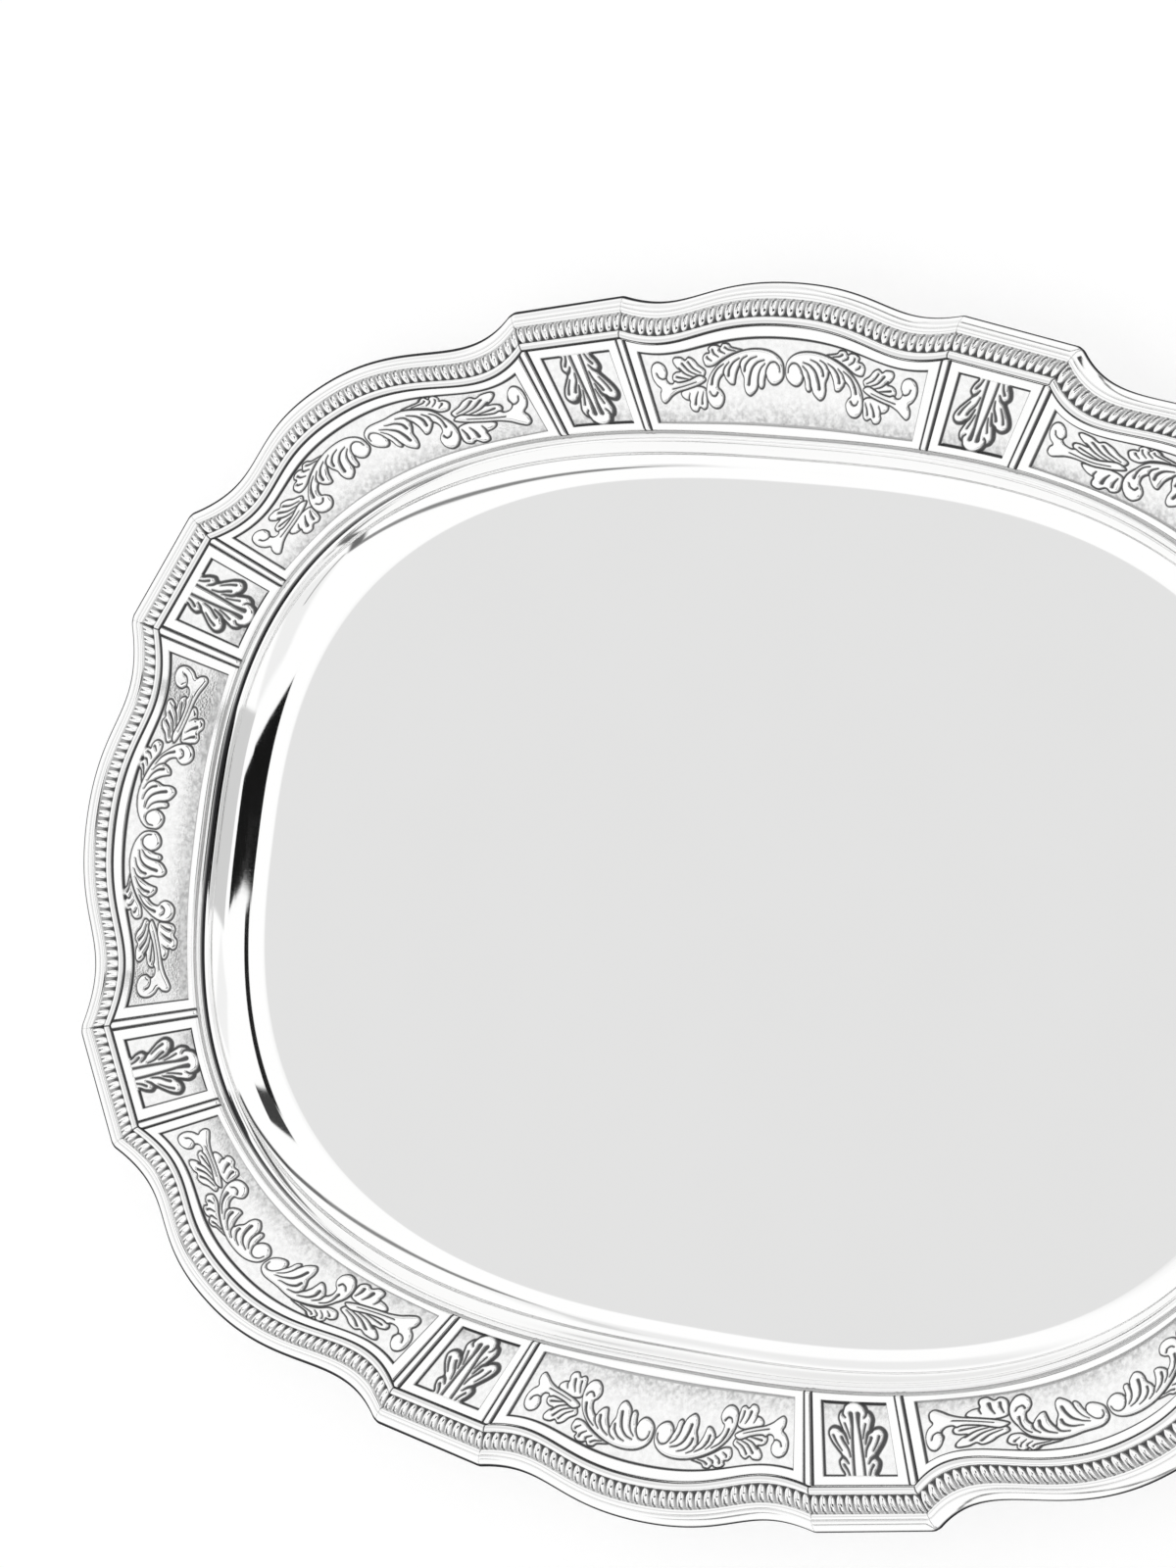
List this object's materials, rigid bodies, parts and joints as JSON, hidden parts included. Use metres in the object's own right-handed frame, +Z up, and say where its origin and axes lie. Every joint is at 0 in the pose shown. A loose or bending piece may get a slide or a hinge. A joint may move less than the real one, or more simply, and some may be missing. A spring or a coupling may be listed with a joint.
{
  "type": "serving tray",
  "caption": "Oval serving tray in polished silver with a shallow well and a raised ogee border of struck scroll and leaf panels, divided by ribs and edged with gadroon mounts.",
  "frame": {"origin": "middle of the underside of the floor, on the surface that the tray stands on", "axes": "+X along the length of the oval, +Y across it towards the back edge, +Z up out of the well"},
  "size_m": [0.4658, 0.341, 0.0206],
  "materials": {
    "polished_silver": "bright polished silver plate",
    "struck_silver": "polished silver plate with matted, stippled grounds",
    "cast_silver": "polished cast silver plate"
  },
  "bodies": {
    "root": {"well_pan": "polished_silver", "well_bead": "polished_silver", "rim_wire": "polished_silver", "scroll_panel_1": "struck_silver", "scroll_panel_2": "struck_silver", "scroll_panel_3": "struck_silver", "scroll_panel_4": "struck_silver", "scroll_panel_5": "struck_silver", "scroll_panel_6": "struck_silver", "scroll_panel_7": "struck_silver", "scroll_panel_8": "struck_silver", "leaf_panel_1": "struck_silver", "leaf_panel_2": "struck_silver", "leaf_panel_3": "struck_silver", "leaf_panel_4": "struck_silver", "leaf_panel_5": "struck_silver", "leaf_panel_6": "struck_silver", "leaf_panel_7": "struck_silver", "leaf_panel_8": "struck_silver", "scroll_mount_1": "cast_silver", "scroll_mount_2": "cast_silver", "scroll_mount_3": "cast_silver", "scroll_mount_4": "cast_silver", "scroll_mount_5": "cast_silver", "scroll_mount_6": "cast_silver", "scroll_mount_7": "cast_silver", "scroll_mount_8": "cast_silver", "leaf_mount_1": "cast_silver", "leaf_mount_2": "cast_silver", "leaf_mount_3": "cast_silver", "leaf_mount_4": "cast_silver", "leaf_mount_5": "cast_silver", "leaf_mount_6": "cast_silver", "leaf_mount_7": "cast_silver", "leaf_mount_8": "cast_silver", "divider_rib_1": "polished_silver", "divider_rib_2": "polished_silver", "divider_rib_3": "polished_silver", "divider_rib_4": "polished_silver", "divider_rib_5": "polished_silver", "divider_rib_6": "polished_silver", "divider_rib_7": "polished_silver", "divider_rib_8": "polished_silver", "divider_rib_9": "polished_silver", "divider_rib_10": "polished_silver", "divider_rib_11": "polished_silver", "divider_rib_12": "polished_silver", "divider_rib_13": "polished_silver", "divider_rib_14": "polished_silver", "divider_rib_15": "polished_silver", "divider_rib_16": "polished_silver"}
  },
  "joints": []
}
